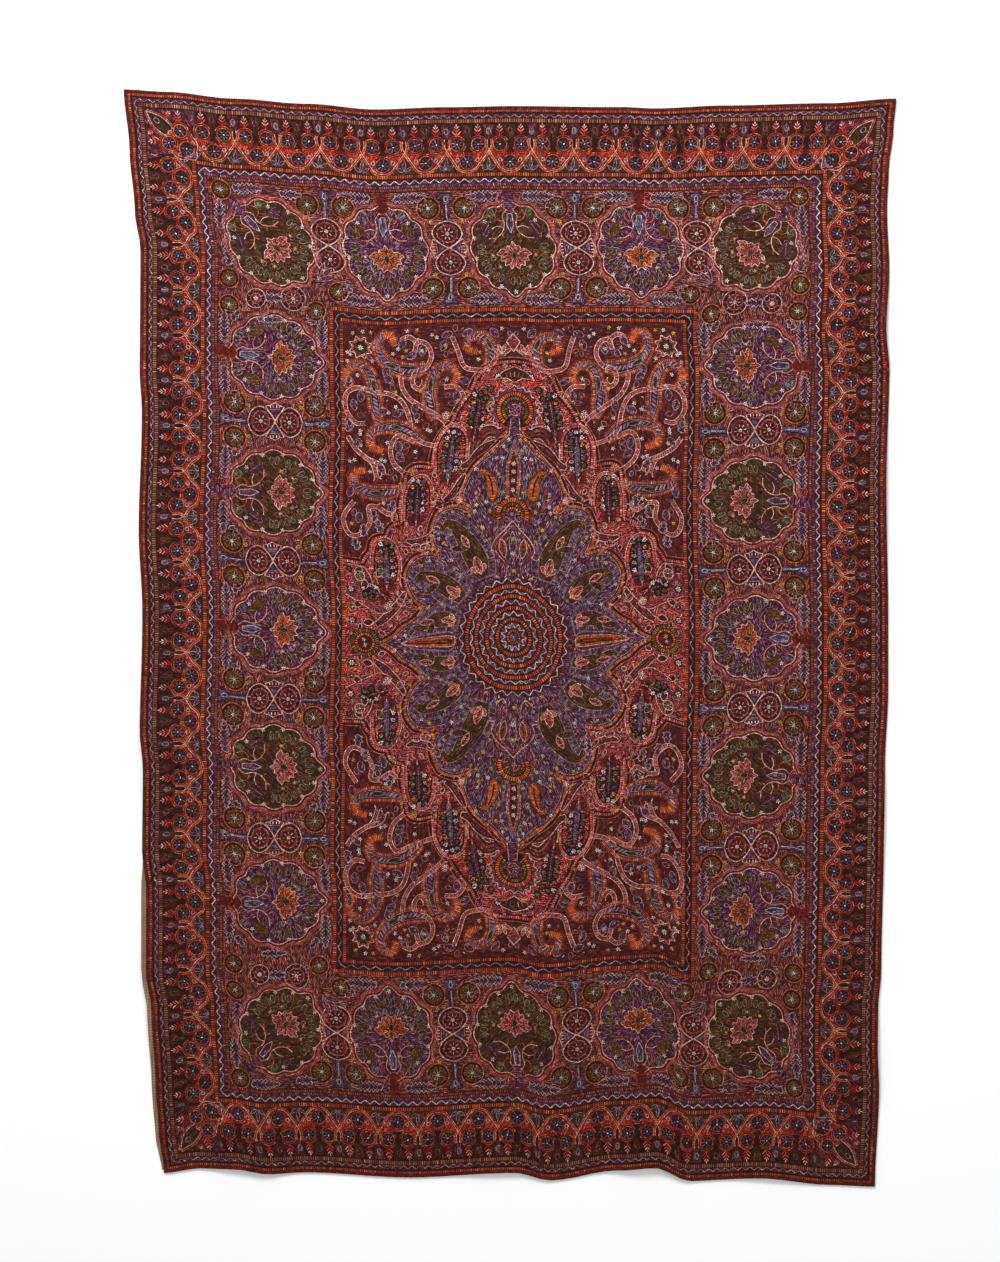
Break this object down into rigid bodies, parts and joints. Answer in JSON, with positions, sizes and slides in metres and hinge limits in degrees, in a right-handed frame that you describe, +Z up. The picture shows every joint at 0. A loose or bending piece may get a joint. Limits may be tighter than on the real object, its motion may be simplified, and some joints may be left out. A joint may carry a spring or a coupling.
{
  "type": "embroidered wool cover",
  "caption": "Flat rectangular wool cover, embroidered all over with a central medallion, floral borders and corner scrolls, with a plain cotton lining behind it.",
  "frame": {"origin": "on the surface that the cloth lies on, under the middle of the cloth", "axes": "+X across the cloth, to the right as it is seen from above; +Y along its height, up the design; +Z up, out of the embroidered face"},
  "size_m": [1.346, 1.912, 0.0127],
  "materials": {
    "embroidered_wool": "matte wool twill covered with wool stitches",
    "lining_cotton": "matte plain cotton"
  },
  "bodies": {
    "root": {"face_cloth": "embroidered_wool", "lining": "lining_cotton"}
  },
  "joints": []
}
